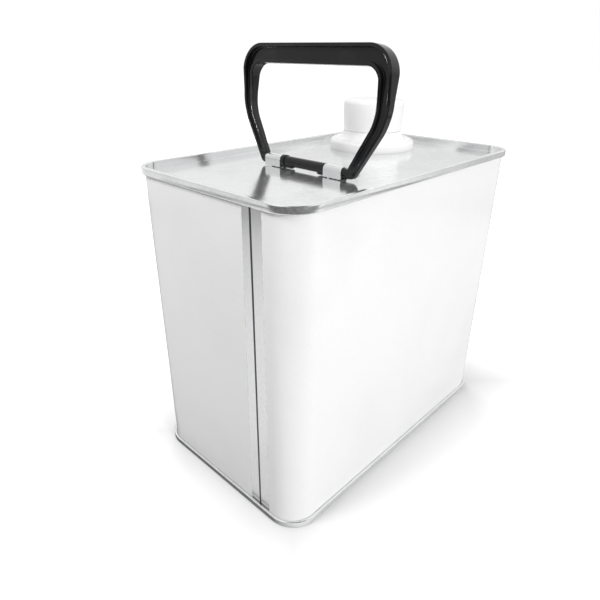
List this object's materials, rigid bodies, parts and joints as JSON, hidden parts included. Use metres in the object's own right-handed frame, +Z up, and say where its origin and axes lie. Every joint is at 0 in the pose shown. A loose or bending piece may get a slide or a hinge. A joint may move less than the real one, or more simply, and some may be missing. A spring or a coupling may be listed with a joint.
{
  "type": "olive oil tin with spout",
  "caption": "Rectangular double-seamed tinplate oil can with a folding plastic carrying handle held in bent clips, and a pull-up pouring spout under a push-on cap.",
  "frame": {"origin": "the middle of the base seam's crest, on the floor the tin stands on", "axes": "+Z up, X along the long sides, Y along the short sides; the closure is towards +X and +Y, the handle's clips are towards -X, and the weld is on the -X side"},
  "size_m": [0.1608, 0.0978, 0.19],
  "materials": {
    "lacquered_tinplate": "gloss white lacquer over tinplate, bare along the weld",
    "bright_tinplate": "bright tinplate with a faint blur",
    "seam_compound": "matt",
    "black_plastic": "satin black moulding",
    "white_plastic": "milky white, soft sheen",
    "liner_foam": "matt foam",
    "gasket_rubber": "matt"
  },
  "bodies": {
    "tin": {"body_shell": "lacquered_tinplate", "top_end": "bright_tinplate", "bottom_end": "bright_tinplate", "top_seam_compound": "seam_compound", "bottom_seam_compound": "seam_compound", "left_handle_clip": "bright_tinplate", "right_handle_clip": "bright_tinplate", "neck_gasket": "gasket_rubber", "closure_ring": "white_plastic"},
    "handle": {"handle": "black_plastic"},
    "spout": {"pull_up_spout": "white_plastic"},
    "cap": {"spout_cap": "white_plastic", "cap_liner": "liner_foam"}
  },
  "joints": [
    {"name": "handle_swing", "type": "hinge", "parent": "tin", "child": "handle", "pos_m": [-0.02705, -0.0038, 0.14345], "axis": [0, 1, 0], "range_deg": [-95, 85]},
    {"name": "spout_pull", "type": "slide", "parent": "tin", "child": "spout", "axis": [0, 0, 1], "range_m": [0, 0.012]},
    {"name": "cap_lift", "type": "slide", "parent": "spout", "child": "cap", "axis": [0, 0, 1], "range_m": [0, 0.03]}
  ]
}
